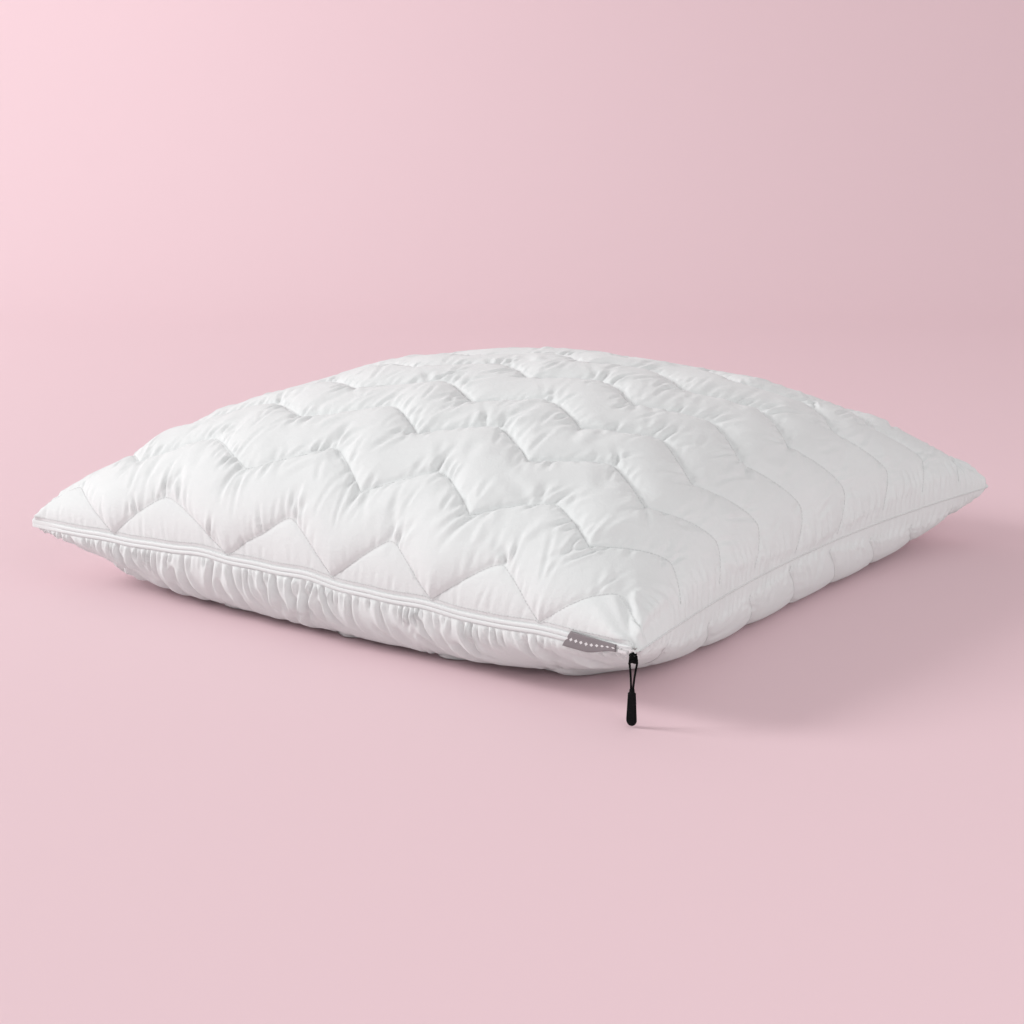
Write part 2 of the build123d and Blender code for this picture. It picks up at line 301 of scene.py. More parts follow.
def panel_grid(surface, lines, peak_at, first_rows, pad, first_pad):
    """The panel's grid before it is relaxed. Its rows follow the quilting lines."""
    u_steps, u_arc = arc_table(surface, True)
    v_steps, v_arc = arc_table(surface, False)
    total = v_arc[-1]
    p = np.linspace(-FLAT_HALF, FLAT_HALF, COLUMNS + 1)
    arc, height, held = panel_rows(p, total, lines, peak_at, first_rows, pad, first_pad)

    flat_v = 2 * arc / total - 1
    curved_v = np.interp(arc, v_arc, v_steps)
    u_share = np.broadcast_to(p / FLAT_HALF, arc.shape)
    curved_u = np.interp((p + FLAT_HALF) / (2 * FLAT_HALF) * u_arc[-1], u_arc, u_steps)
    curved_u = np.broadcast_to(curved_u, arc.shape)
    inner_v = np.clip(1 - curved_v**2, 0, 1) ** 0.5
    inner_u = np.clip(1 - curved_u**2, 0, 1) ** 0.5
    u = u_share * (1 - inner_v) + curved_u * inner_v
    v = true_to_length(surface, u_share, flat_v * (1 - inner_u) + curved_v * inner_u, arc)
    side_arc = (u_share + 1) / 2 * u_arc[-1]
    side_gap = np.minimum(side_arc, u_arc[-1] - side_arc)
    height = height * (1 + 0.12 * soft_noise(arc.shape, (36, 30), 8))
    height *= 0.34 * smooth(side_gap / 0.012) + 0.66 * smooth(side_gap / 0.15)
    return {
        "base": surface(u, v), "p": p, "q": arc, "total": total, "lines": lines, "peak_at": peak_at,
        "height": height, "held": held, "side_gap": side_gap, "end_gap": np.minimum(arc, total - arc),
    }


# ---- folds in the cloth
def add_fold(field, grid, x, y, heading, length, width, depth, curl=0.0):
    """Adds one fold to a height field: a groove between two soft ridges, fading out along it."""
    p, q = grid["p"], grid["q"]
    reach = length + 4 * width  # past this the fold is too faint to matter
    c0, c1 = np.searchsorted(p, (x - reach, x + reach))
    middle = q[:, min((c0 + c1) // 2, len(p) - 1)]
    r0, r1 = np.searchsorted(middle, (y - reach - 2 * ZIGZAG, y + reach + 2 * ZIGZAG))
    dx = p[None, c0:c1] - x
    dy = q[r0:r1, c0:c1] - y
    along = dx * cos(heading) + dy * sin(heading)
    across = dy * cos(heading) - dx * sin(heading) - curl * along * along
    s = along / length
    widening = 0.75 + 0.6 * np.clip(s, 0, 1)
    t = across / (width * widening)
    start, end = smooth(s / 0.16 + 0.4), 1 - smooth((s - 0.3) / 0.7)
    field[r0:r1, c0:c1] += depth * (start * end) * (1 - t * t) * np.exp(-t * t / 2)


def side_fade(x, low, reach):
    """Weakens a fold near the side seams, down to a share of low at the seam."""
    return low + (1 - low) * smooth((FLAT_HALF - abs(x)) / reach)


def line_folds(field, grid, draw, strength, at, side):
    """Small folds all along one quilting line, on the side away from the zip (1) or towards it (-1)."""
    reach, drag = 0.395, 0.12
    x = -reach
    while x < reach:
        x += draw.uniform(0.004, 0.016)
        bend = zigzag(np.array(x), grid["peak_at"])
        near = ((1 + side * bend) / 2) ** 3
        depth = -(0.0003 + 0.0007 * near + draw.exponential(0.00045)) * strength
        length = draw.uniform(0.008, 0.030) + near * draw.uniform(0.0, 0.020)
        heading = side * pi / 2 + drag + draw.normal(0, 0.28)
        depth *= side_fade(x, 0.4, 0.12)
        width = draw.uniform(0.0015, 0.0031)
        add_fold(field, grid, x, at + ZIGZAG * bend, heading, length, width, depth)


def fan_folds(field, grid, draw, strength, at, side):
    """Fans of longer folds at one line's peaks (side 1) or valleys (side -1)."""
    fewest, most = (1, 5) if side > 0 else (2, 6)
    for corner in corners(grid["peak_at"], side):
        for _ in range(draw.integers(fewest, most)):
            lean = draw.normal(0, 0.42)
            x = corner + draw.normal(0, 0.010)
            y = at + ZIGZAG * zigzag(np.array(x), grid["peak_at"]) + side * 0.002
            length = draw.uniform(0.022, 0.062)
            depth = -draw.uniform(0.0006, 0.0021) * strength * side_fade(x, 0.3, 0.14)
            width = draw.uniform(0.0021, 0.0048)
            curl = draw.normal(0, 3.0)
            add_fold(field, grid, x, y, side * pi / 2 + lean, length, width, depth, curl)


def quilt_folds(field, grid, draw, strength, skip_first=False):
    """Folds that start at the quilting; skip_first leaves the strip beside the zip smooth."""
    for k, at in enumerate(grid["lines"]):
        sides = (1,) if skip_first and k == 0 else (1, -1)
        for side in sides:
            line_folds(field, grid, draw, strength, at, side)
        for side in sides[::-1]:
            fan_folds(field, grid, draw, strength, at, side)


def broad_folds(field, grid, draw, count, deep):
    """Wide, shallow folds that run on across the quilting."""
    for _ in range(count):
        x, y = draw.uniform(-0.38, 0.38), draw.uniform(0.03, grid["total"] - 0.03)
        heading = pi / 2 + draw.normal(0, 0.45)
        depth = draw.choice((-1, 1)) * draw.uniform(0.3, 1.0) * deep
        add_fold(field, grid, x, y, heading, draw.uniform(0.04, 0.085), draw.uniform(0.006, 0.011), depth)


def drag_lines(field, grid, draw, count):
    """Long, fine wrinkles that all run nearly the same way, as cloth lies over wadding."""
    drag, deep = 0.22, 0.0011
    for _ in range(count):
        x, y = draw.uniform(-0.37, 0.37), draw.uniform(0.03, grid["total"] - 0.05)
        heading = pi / 2 + drag + draw.normal(0, 0.16)
        depth = -draw.uniform(0.25, 1.0) * deep
        length, width = draw.uniform(0.03, 0.085), draw.uniform(0.0019, 0.0036)
        add_fold(field, grid, x, y, heading, length, width, depth, draw.normal(0, 1.6))


def side_puckers(field, grid, draw, low_gap, high_gap, deep):
    """Short puckers where the side seams draw the cloth in."""
    for x, inwards in ((-FLAT_HALF, 0.0), (FLAT_HALF, pi)):
        y = 0.004
        while y < grid["total"]:
            depth = -draw.uniform(0.3, 1.0) * deep
            length = draw.uniform(0.012, 0.055)
            heading = inwards + draw.normal(0, 0.2)
            width = draw.uniform(0.0022, 0.0042)
            add_fold(field, grid, x, y, heading, length, width, depth)
            y += draw.uniform(low_gap, high_gap)


def end_puckers(field, grid, draw, y, heading, low_gap, high_gap, lengths, widths, depths):
    """A row of puckers along the zip, or along the seam at the back."""
    reach = 0.392
    x = -reach
    while x < reach:
        length = draw.uniform(*lengths)
        depth = -draw.uniform(*depths) * (0.45 + 0.55 * smooth(length / 0.04))
        lean = heading + draw.normal(0, 0.15)
        add_fold(field, grid, x, y, lean, length, draw.uniform(*widths), depth, draw.normal(0, 2.0))
        x += draw.uniform(low_gap, high_gap)


def zip_puckers(field, grid, draw):
    end_puckers(
        field, grid, draw, 0.004, pi / 2, 0.010, 0.024,
        lengths=(0.01, 0.03), widths=(0.002, 0.003), depths=(0.0003, 0.001),
    )


def back_puckers(field, grid, draw):
    end_puckers(
        field, grid, draw, grid["total"], -pi / 2, 0.007, 0.018,
        lengths=(0.015, 0.06), widths=(0.0025, 0.004), depths=(0.0006, 0.002),
    )


def left_corner_puckers(field, grid):
    """A row of even puckers up the left seam, beside the zip."""
    for y in np.arange(0.007, 0.085, 0.0088):
        add_fold(field, grid, -0.402, y, heading=0.12, length=0.026, width=0.0027, depth=-0.0022)


def corner_folds(field, grid, draw, deep):
    """Folds that run in from the four corners, where the square is drawn to a point."""
    back = grid["total"]
    for x, y, heading in (
        (-FLAT_HALF, 0.0, pi / 4),
        (FLAT_HALF, 0.0, 3 * pi / 4),
        (-FLAT_HALF, back, -pi / 4),
        (FLAT_HALF, back, -3 * pi / 4),
    ):
        for _ in range(6):
            lean = heading + draw.normal(0, 0.30)
            depth = -draw.uniform(0.4, 1.0) * deep
            length, width = draw.uniform(0.05, 0.12), draw.uniform(0.004, 0.007)
            add_fold(field, grid, x, y, lean, length, width, depth)


# ---- the cloth solver
def grid_normals(points, up):
    """Unit normals of a grid of points, all on the side that up says."""
    du = np.gradient(points, axis=1)
    dv = np.gradient(points, axis=0)
    n = np.cross(du, dv)
    size = np.linalg.norm(n, axis=-1, keepdims=True)
    n = n / np.maximum(size, 1e-12)
    return n * up


def ends(a, dr, dc):
    """The two ends of every pair of grid points that lie (dr, dc) apart."""
    rows, cols = a.shape[0], a.shape[1]
    if dc >= 0:
        return a[: rows - dr, : cols - dc], a[dr:, dc:]
    return a[: rows - dr, -dc:], a[dr:, : cols + dc]


def relax(grid, up, height, floor):
    """Relaxes a panel: the cloth keeps its length, stitches hold it and wadding pushes it out."""
    base = grid["base"]
    normal = grid_normals(base, up)
    p = base + normal * height[..., None]
    pairs = ((0, 1, 0.42), (1, 0, 0.42), (1, 1, 0.19), (1, -1, 0.19))
    rest = []
    for dr, dc, _ in pairs:
        a, b = ends(p, dr, dc)
        rest.append(np.linalg.norm(b - a, axis=-1) * (1 + SPARE))
    stitch_hold = 0.35
    hold = np.where(grid["held"], stitch_hold, 0.0)[:, None] * np.ones(base.shape[1])
    hold[0] = hold[-1] = 1.0
    hold[:, 0] = hold[:, -1] = 1.0
    hold = hold[..., None]
    wadding, bend, carry = 0.012, 0.003, 0.82
    before = p.copy()
    for _ in range(ROUNDS):
        move = np.zeros_like(p)
        for (dr, dc, strength), length in zip(pairs, rest):
            a, b = ends(p, dr, dc)
            d = b - a
            now = np.sqrt((d * d).sum(-1)) + 1e-9
            pull = (0.5 * strength * (now - length) / now)[..., None] * d
            first, second = ends(move, dr, dc)
            first += pull
            second -= pull
        off = p - base
        for _ in range(2):
            lap = np.zeros_like(p)
            lap[1:-1] += off[2:] + off[:-2] - 2 * off[1:-1]
            lap[:, 1:-1] += off[:, 2:] + off[:, :-2] - 2 * off[:, 1:-1]
            off = lap
        move -= bend * off * (1 - hold)
        momentum = carry * (p - before)
        before = p
        p = p + move + momentum
        out = ((p - base) * normal).sum(-1)
        p = p + normal * (wadding * (height - out))[..., None]
        p = p + hold * (base - p)
        p[..., 2] = np.maximum(p[..., 2], floor)
    return p


def no_deeper(folds, limit):
    """Folds that cross add up, but the cloth never sinks much deeper than the limit."""
    return np.where(folds < 0, limit * np.tanh(folds / limit), folds)


def tucked(grid, points, depth):
    """Tucks the cloth's first few millimetres in behind the zip's tape."""
    points[..., 1] += depth * np.exp(-grid["q"] / 0.0022)
    return points


def top_panel():
    """The upper panel's grid, and its points once the cloth is relaxed."""
    grid = panel_grid(top_surface, TOP_LINES, TOP_PEAK_AT, first_rows=20, pad=TOP_PAD, first_pad=0.42)
    draw = np.random.default_rng(TOP_SEED)
    folds = np.zeros_like(grid["height"])
    quilt_folds(folds, grid, draw, 1.0, skip_first=True)
    drag_lines(folds, grid, draw, 330)
    broad_folds(folds, grid, draw, 130, 0.0013)
    side_puckers(folds, grid, draw, 0.006, 0.014, 0.0017)
    zip_puckers(folds, grid, draw)
    back_puckers(folds, grid, draw)
    corner_folds(folds, grid, draw, 0.0028)
    left_corner_puckers(folds, grid)
    lumps = 0.0022 * soft_noise(folds.shape, (64, 70), 14)
    inner = smooth(grid["side_gap"] / 0.10) * smooth(grid["end_gap"] / 0.10)
    grid["base"] = grid["base"] + grid_normals(grid["base"], 1) * (lumps * inner)[..., None]
    near_seam = smooth(grid["end_gap"] / 0.006) * smooth(grid["side_gap"] / 0.003)
    height = grid["height"] + no_deeper(folds, 0.0034) * near_seam
    return grid, tucked(grid, relax(grid, 1, height, floor=0.0), 0.0007)


def gathers(field, grid, draw):
    """The cloth below the zip is gathered: deep narrow folds that merge into broad ones."""
    reach, steps = 0.39, 79
    crowd = 1 + 0.5 * np.sin(np.linspace(0, 31, steps) + 2 * np.sin(np.linspace(0, 9, steps)))
    x = -reach
    while x < reach:
        here = np.interp(x, np.linspace(-reach, reach, steps), crowd)
        long_one = draw.random() < 0.4
        length = draw.uniform(0.040, 0.085) if long_one else draw.uniform(0.010, 0.034)
        depth = -draw.uniform(0.0012, 0.0040) * (1.2 if long_one else 0.8) * (0.6 + 0.5 * here)
        width = draw.uniform(0.0024, 0.0044) if long_one else draw.uniform(0.0015, 0.0026)
        lean = pi / 2 + draw.normal(0, 0.18)
        add_fold(field, grid, x, 0.0005, lean, length, width, depth, draw.normal(0, 3.5))
        x += draw.uniform(0.0035, 0.0125) * (1.5 - 0.5 * here)
    broad_ones = 34
    for _ in range(broad_ones):
        x, y = draw.uniform(-0.37, 0.37), draw.uniform(0.012, 0.045)
        depth = -draw.uniform(0.0010, 0.0042)
        lean = pi / 2 + draw.normal(0, 0.22)
        length, width = draw.uniform(0.03, 0.07), draw.uniform(0.0035, 0.0088)
        add_fold(field, grid, x, y, lean, length, width, depth, draw.normal(0, 3.0))


def bottom_panel():
    """The lower panel's grid, and its points once the cloth is relaxed."""
    grid = panel_grid(
        bottom_surface, BOTTOM_LINES, BOTTOM_PEAK_AT, first_rows=46, pad=BOTTOM_PAD, first_pad=0.30
    )
    draw = np.random.default_rng(BOTTOM_SEED)
    folds = np.zeros_like(grid["height"])
    quilt_folds(folds, grid, draw, 0.7)
    broad_folds(folds, grid, draw, 60, 0.0010)
    side_puckers(folds, grid, draw, 0.005, 0.013, 0.0016)
    gathers(folds, grid, draw)
    back_puckers(folds, grid, draw)
    corner_folds(folds, grid, draw, 0.0018)
    near_seam = smooth(grid["end_gap"] / 0.004) * smooth(grid["side_gap"] / 0.003)
    height = grid["height"] + no_deeper(folds, 0.0055) * near_seam
    p = tucked(grid, relax(grid, -1, height, floor=0.0009), 0.0013)
    left_end = smooth((LEFT_CLEAR - p[..., 0]) / 0.01)
    right_end = smooth((p[..., 0] - RIGHT_CLEAR) / 0.02)
    furthest, left_back, right_back = 0.012, 0.0108, 0.0098
    foremost = ZIP_Y - furthest + left_back * left_end + right_back * right_end
    p[..., 1] = np.maximum(p[..., 1], foremost)
    return grid, p


# ---- meshes
def link(obj):
    bpy.context.collection.objects.link(obj)
    return obj


def mesh_object(name, points, faces, uv=None):
    """A smooth-shaded mesh; uv gives each point its texture coordinates."""
    mesh = bpy.data.meshes.new(name)
    mesh.from_pydata(np.asarray(points).tolist(), [], [list(map(int, face)) for face in faces])
    mesh.polygons.foreach_set("use_smooth", [True] * len(mesh.polygons))
    if uv is not None:
        layer = mesh.uv_layers.new(name="UVMap")
        corners = np.empty(len(mesh.loops), int)
        mesh.loops.foreach_get("vertex_index", corners)
        layer.data.foreach_set("uv", np.asarray(uv)[corners].astype(np.float32).ravel())
    mesh.update()
    return link(bpy.data.objects.new(name, mesh))


def grid_faces(rows, cols, up=1, wrap=False):
    """Quads over a grid of points; wrap joins each row's last point to its first."""
    index = np.arange(rows * cols).reshape(rows, cols)
    if wrap:
        index = np.concatenate([index, index[:, :1]], axis=1)
    a, b, c, d = index[:-1, :-1], index[:-1, 1:], index[1:, 1:], index[1:, :-1]
    return np.stack([a, b, c, d] if up > 0 else [a, d, c, b], -1).reshape(-1, 4)


def grid_object(name, points, up, uv=None):
    faces = grid_faces(points.shape[0], points.shape[1], up)
    flat = None if uv is None else uv.reshape(-1, 2)
    return mesh_object(name, points.reshape(-1, 3), faces, flat)


def joined(name, parts):
    """One object from several (points, faces) parts that stay separate solids."""
    points, faces, start = [], [], 0
    for part_points, part_faces in parts:
        points.append(np.asarray(part_points))
        faces += [[int(i) + start for i in face] for face in part_faces]
        start += len(part_points)
    return mesh_object(name, np.concatenate(points), faces)


def closed_tube_faces(rings, sides):
    """Faces round a stack of rings, with a cap on each end."""
    faces = [list(face) for face in grid_faces(rings, sides, 1, wrap=True)]
    last = (rings - 1) * sides
    return faces + [list(range(sides))[::-1], [last + k for k in range(sides)]]


def thicken(obj, thickness):
    """Gives an open sheet its thickness, half to each side."""
    thick = obj.modifiers.new("thick", "SOLIDIFY")
    thick.thickness = thickness
    thick.offset = 0


def tube(path, radius, sides=8, guide=(0, 0, 1)):
    """A round tube along a path, closed at both ends."""
    path = np.asarray(path, float)
    radius = np.broadcast_to(radius, len(path))
    ahead = np.gradient(path, axis=0)
    ahead /= np.linalg.norm(ahead, axis=1, keepdims=True)
    across = np.empty_like(path)
    now = np.array(guide, float)
    for k, way in enumerate(ahead):
        now = now - way * (now @ way)
        now /= np.linalg.norm(now)
        across[k] = now
    other = np.cross(ahead, across)
    turn = np.linspace(0, 2 * pi, sides, endpoint=False)
    ring = across[:, None] * np.cos(turn)[:, None] + other[:, None] * np.sin(turn)[:, None]
    points = (path[:, None] + ring * radius[:, None, None]).reshape(-1, 3)
    return points, closed_tube_faces(len(path), sides)


def unit(vectors):
    return vectors / np.maximum(np.linalg.norm(vectors, axis=1, keepdims=True), 1e-9)


def stitches(path, normal_path, spacing, length, radius):
    """A row of thread stitches along a path, each one a small rounded bar."""
    arc = run_length(path)
    at = np.arange(spacing / 2, arc[-1], spacing)
    points = at_length(path, arc, at)
    ahead = unit(at_length(path, arc, at + spacing / 9) - points)
    normal = unit(at_length(normal_path, arc, at))
    side = np.cross(ahead, normal)
    sides = 6
    shares, sizes = (-0.5, -0.36, 0.0, 0.36, 0.5), (0.25, 0.85, 1.0, 0.85, 0.25)
    turn = np.linspace(0, 2 * pi, sides, endpoint=False)
    rings = []
    for share, size in zip(shares, sizes):
        proud = 0.35 * radius * (1 - abs(2 * share) ** 3)
        middle = points + ahead * (share * length) + normal * proud
        for angle in turn:
            rings.append(middle + (normal * cos(angle) + side * sin(angle)) * (radius * size))
    cloud = np.stack(rings, 1)
    one = closed_tube_faces(len(shares), sides)
    points_each = cloud.shape[1]
    faces = [[i + points_each * n for i in face] for n in range(len(cloud)) for face in one]
    return cloud.reshape(-1, 3), faces


# ---- materials
LOOK = "_look"
WAVE_BAND = 0.314  # a wave texture's bands lie this far apart, divided by its scale
MIX_SHARE, MIX_FIRST, MIX_SECOND, MIX_RESULT = 0, 6, 7, 2  # a colour mix's sockets


def material(slot, color, roughness, **sockets):
    """A material for one of the record's slots, named after it."""
    mat = bpy.data.materials.new(slot + LOOK)
    mat.use_nodes = True
    shader = mat.node_tree.nodes["Principled BSDF"]
    shader.inputs["Base Color"].default_value = (*color, 1)
    shader.inputs["Roughness"].default_value = roughness
    for key, value in sockets.items():
        shader.inputs[key.replace("_", " ")].default_value = value
    return mat


def node(mat, kind, **values):
    new = mat.node_tree.nodes.new(kind)
    for key, value in values.items():
        if hasattr(new, key):
            setattr(new, key, value)
        else:
            new.inputs[key.replace("_", " ")].default_value = value
    return new


def wire(mat, out, into):
    mat.node_tree.links.new(out, into)


def shader_input(mat, name):
    return mat.node_tree.nodes["Principled BSDF"].inputs[name]


def two_colors(mat, share, first, second):
    """Base colour: the first one where share is 0, the second where it is 1."""
    mix = node(mat, "ShaderNodeMix", data_type="RGBA")
    mix.inputs[MIX_FIRST].default_value = (*first, 1)
    mix.inputs[MIX_SECOND].default_value = (*second, 1)
    wire(mat, share, mix.inputs[MIX_SHARE])
    wire(mat, mix.outputs[MIX_RESULT], shader_input(mat, "Base Color"))


def maths(mat, operation, *values):
    """A maths node's result: each value is a socket or a plain number."""
    new = node(mat, "ShaderNodeMath", operation=operation)
    for socket, value in zip(new.inputs, values):
        if isinstance(value, float):
            socket.default_value = value
        else:
            wire(mat, value, socket)
    return new.outputs[0]


def texture(mat, kind, at, **values):
    """A procedural texture's value at the coordinates of a socket."""
    new = node(mat, kind, **values)
    wire(mat, at, new.inputs["Vector"])
    return new.outputs["Fac"]


def mottle(mat, color, scale, spread):
    """Varies the base colour a little, in soft patches."""
    place = node(mat, "ShaderNodeTexCoord")
    at = place.outputs["Object"]
    noise = texture(mat, "ShaderNodeTexNoise", at, Scale=scale, Detail=4.0, Roughness=0.6)
    ramp = node(mat, "ShaderNodeValToRGB")
    for stop, share in zip(ramp.color_ramp.elements, (1 - spread, 1 + spread)):
        stop.color = (*(min(1.0, c * share) for c in color), 1)
    ramp.color_ramp.elements[0].position = 0.3
    ramp.color_ramp.elements[1].position = 0.7
    wire(mat, noise, ramp.inputs["Fac"])
    wire(mat, ramp.outputs["Color"], shader_input(mat, "Base Color"))
    return place


def bump_chain(mat, layers):
    """Stacks bumps: each layer is a height socket, a strength and a distance in metres."""
    before = None
    for height, strength, distance in layers:
        bump = node(mat, "ShaderNodeBump", Strength=strength, Distance=distance)
        wire(mat, height, bump.inputs["Height"])
        if before is not None:
            wire(mat, before.outputs["Normal"], bump.inputs["Normal"])
        before = bump
    wire(mat, before.outputs["Normal"], shader_input(mat, "Normal"))


def woven(name, color, pitch, crumple, roughness=0.85, sheen=0.15, coords="UV", spread=0.02):
    """Plain-woven cloth: crossing threads, fine creasing and slight mottling."""
    mat = material(name, color, roughness, Sheen_Weight=sheen, Sheen_Roughness=0.5)
    place = mottle(mat, color, 18.0, spread)
    thread = {"Scale": WAVE_BAND / pitch, "Distortion": 0.6}
    waves = [
        texture(mat, "ShaderNodeTexWave", place.outputs[coords], bands_direction=direction, **thread)
        for direction in ("X", "Y")
    ]
    weave = maths(mat, "MAXIMUM", *waves)
    at = place.outputs["Object"]
    crease = texture(mat, "ShaderNodeTexNoise", at, Scale=150.0, Detail=5.0, Roughness=0.62, Distortion=0.4)
    fine = texture(mat, "ShaderNodeTexNoise", at, Scale=620.0, Detail=3.0, Roughness=0.6)
    bump_chain(mat, [(crease, crumple, 0.0016), (fine, crumple, 0.0004), (weave, 0.35, pitch * 0.2)])
    return mat


def moulded(name, color, roughness, **sockets):
    """Moulded plastic or painted metal with a fine, uneven surface."""
    grain = 0.0002
    mat = material(name, color, roughness, **sockets)
    place = mottle(mat, color, 120.0, 0.06)
    fine = texture(mat, "ShaderNodeTexNoise", place.outputs["Object"], Scale=1800.0, Detail=2.0)
    bump_chain(mat, [(fine, 0.3, grain)])
    return mat


def braided(name, color, pitch):
    """A cord's braid: diagonal strands crossing both ways."""
    mat = material(name, color, 0.8, Specular_IOR_Level=0.1)
    place = mottle(mat, color, 300.0, 0.12)
    waves = []
    for lean in (0.8, -0.8):
        turn = node(mat, "ShaderNodeMapping")
        turn.inputs["Rotation"].default_value = (0, lean, lean)
        wire(mat, place.outputs["Object"], turn.inputs["Vector"])
        at, scale = turn.outputs["Vector"], WAVE_BAND / pitch
        waves.append(texture(mat, "ShaderNodeTexWave", at, bands_direction="Z", Scale=scale))
    bump_chain(mat, [(maths(mat, "MULTIPLY", *waves), 0.8, 0.0003)])
    return mat


def label_cloth():
    """Grey satin ribbon with fine ribs and a row of small white lozenges."""
    grey, white = (0.25, 0.225, 0.235), (0.82, 0.81, 0.815)
    half_pitch, row_at, half_size, rib = 0.0025, 0.0068, 0.0017, 0.0004
    mat = material("label_satin", grey, 0.42, Sheen_Weight=0.2)
    place = node(mat, "ShaderNodeTexCoord")
    split = node(mat, "ShaderNodeSeparateXYZ")
    wire(mat, place.outputs["UV"], split.inputs[0])
    along = maths(mat, "PINGPONG", split.outputs["X"], half_pitch)
    down = maths(mat, "ABSOLUTE", maths(mat, "SUBTRACT", split.outputs["Y"], row_at))
    inside = maths(mat, "LESS_THAN", maths(mat, "ADD", along, down), half_size)
    two_colors(mat, inside, grey, white)
    ribs = texture(
        mat, "ShaderNodeTexWave", place.outputs["UV"], bands_direction="X", Scale=WAVE_BAND / rib
    )
    bump_chain(mat, [(ribs, 0.5, 0.0001)])
    return mat


COVER = woven("cover_cloth", (0.79, 0.815, 0.812), 0.00045, 0.36, sheen=0.08)
TAPE = woven("zip_tape", (0.80, 0.825, 0.822), 0.0005, 0.05, roughness=0.6, coords="Object", spread=0.01)
TICKING = woven("ticking", (0.74, 0.74, 0.72), 0.0006, 0.3, coords="Object")
FIBRE = woven("fibre", (0.80, 0.80, 0.79), 0.0009, 0.9, roughness=0.95, sheen=0.4, coords="Object")
# The thread is painted a little grey, darker than the white cloth: painted shade that stands for the shadowed
# needle holes along every row of stitches.
THREAD_WITH_PAINTED_SHADE = woven("thread", (0.70, 0.715, 0.712), 0.0003, 0.1, roughness=0.55, coords="Object")
COIL = moulded("zip_coil", (0.60, 0.59, 0.60), 0.35)
METAL = moulded("zip_metal", (0.62, 0.61, 0.60), 0.3, Metallic=0.9)
PAINT = moulded("slider_paint", (0.76, 0.75, 0.755), 0.3, Coat_Weight=0.3)
BLACK_CORD = braided("black_cord", (0.003, 0.003, 0.003), 0.0008)
GRIP = moulded("grip_plastic", (0.003, 0.003, 0.0035), 0.5, Specular_IOR_Level=0.1)
LABEL = label_cloth()


def floor_paint():
    """Matt pink paint that throws only a pale pink light back up at the pillow."""
    pink, pale = (0.82, 0.607, 0.65), (0.79, 0.665, 0.69)
    mat = material("floor_paint", pink, 0.9)
    ray = node(mat, "ShaderNodeLightPath")
    two_colors(mat, ray.outputs["Is Camera Ray"], pale, pink)
    return mat


FLOOR = floor_paint()


def finish_piece(obj, mat, body, *replaced):
    """Gives a piece its material and body, and hides the CAD nodes that it stands for."""
    obj.data.materials.clear()
    obj.data.materials.append(mat)
    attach(obj, body)
    if replaced:
        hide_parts(*replaced)
    return obj


def dress(name, mat):
    """A CAD node that stays gets its real material."""
    data = bpy.data.objects[name].data
    data.materials.clear()
    data.materials.append(mat)


# ---- the cord, its knot and its grip
def cord_curve():
    curve = bpy.data.curves.new("pull_cord_loop", "CURVE")
    curve.dimensions = "3D"
    spline = curve.splines.new("NURBS")
    spline.points.add(len(CORD_ROUTE) - 1)
    for point, (x, out, z) in zip(spline.points, CORD_ROUTE):
        point.co = (HOLE.x + x, HOLE.y - out, HOLE.z + z, 1)
    spline.order_u = 3
    spline.use_endpoint_u = True
    curve.resolution_u = 12
    curve.bevel_depth = CORD / 2
    curve.bevel_resolution = 4
    curve.use_fill_caps = True
    return link(bpy.data.objects.new("pull_cord_loop", curve))


def knot():
    """The hitch: the cord's doubled bight wrapped round itself just below the tab's ring."""
    low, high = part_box("cord_hitch")
    middle = np.array([(low.x + high.x) / 2 + 0.0005, (low.y + high.y) / 2, 0])
    thick = CORD * 0.52
    wide, deep = (high.x - low.x) / 2 - thick + 0.0001, (high.y - low.y) / 2 - thick
    tall = high.z - low.z - 2 * thick
    turns, steps = 3.1, 130
    t = np.linspace(0, 1, steps)
    angle = 2 * pi * turns * t + 0.4
    bulge = 0.58 + 0.42 * np.sin(pi * (0.12 + 0.76 * t)) + 0.06 * np.sin(angle * 1.7)
    wrap_x, wrap_y = wide * bulge * np.cos(angle), deep * bulge * np.sin(angle)
    wrap_z = low.z + thick + tall * t + 0.0003 * np.sin(3 * angle)
    s = np.linspace(-1, 1, 40)
    over_x, over_y = 0.0026 * np.sin(1.35 * s), -deep - 0.0005 - 0.0007 * np.cos(1.5 * s)
    over_z = (low.z + high.z) / 2 + 0.0021 * s
    wrap = middle + np.stack([wrap_x, wrap_y, wrap_z], -1)
    over = middle + np.stack([over_x, over_y, over_z], -1)
    parts = [tube(wrap, thick), tube(over, thick)]
    around = np.linspace(0, 2 * pi, 49)
    for rise, lean, half_wide in ((-0.0034, 0.10, 0.0027), (-0.0020, -0.16, 0.0029), (-0.0006, 0.12, 0.0023)):
        x = HOLE.x + 0.0004 + half_wide * np.cos(around)
        y = HOLE.y - 0.0004 + 0.0017 * np.sin(around)
        z = HOLE.z + rise + lean * half_wide * np.cos(around + 0.6)
        parts.append(tube(np.stack([x, y, z], -1), thick))
    return joined("cord_knot", parts)


NECK_HALF_WIDE, NECK_HALF_DEEP, NECK_TALL = 0.0022, 0.00145, 0.0026
SHOULDER_HALF_WIDE, SHOULDER_ROUND = 0.0032, 0.0012
GRIP_PANEL_INSET, GRIP_PANEL_SUNK = 0.0014, 0.00042
GRIP_RIB, GRIP_RIB_PITCH = 0.00012, 0.0021


def grip_levels(low, high):
    """Three heights on the grip: where it is widest, where its shoulder starts, and the shoulder."""
    shoulder = high.z - NECK_TALL
    return low.z + (high.x - low.x) / 2 + 0.0006, shoulder - SHOULDER_ROUND, shoulder


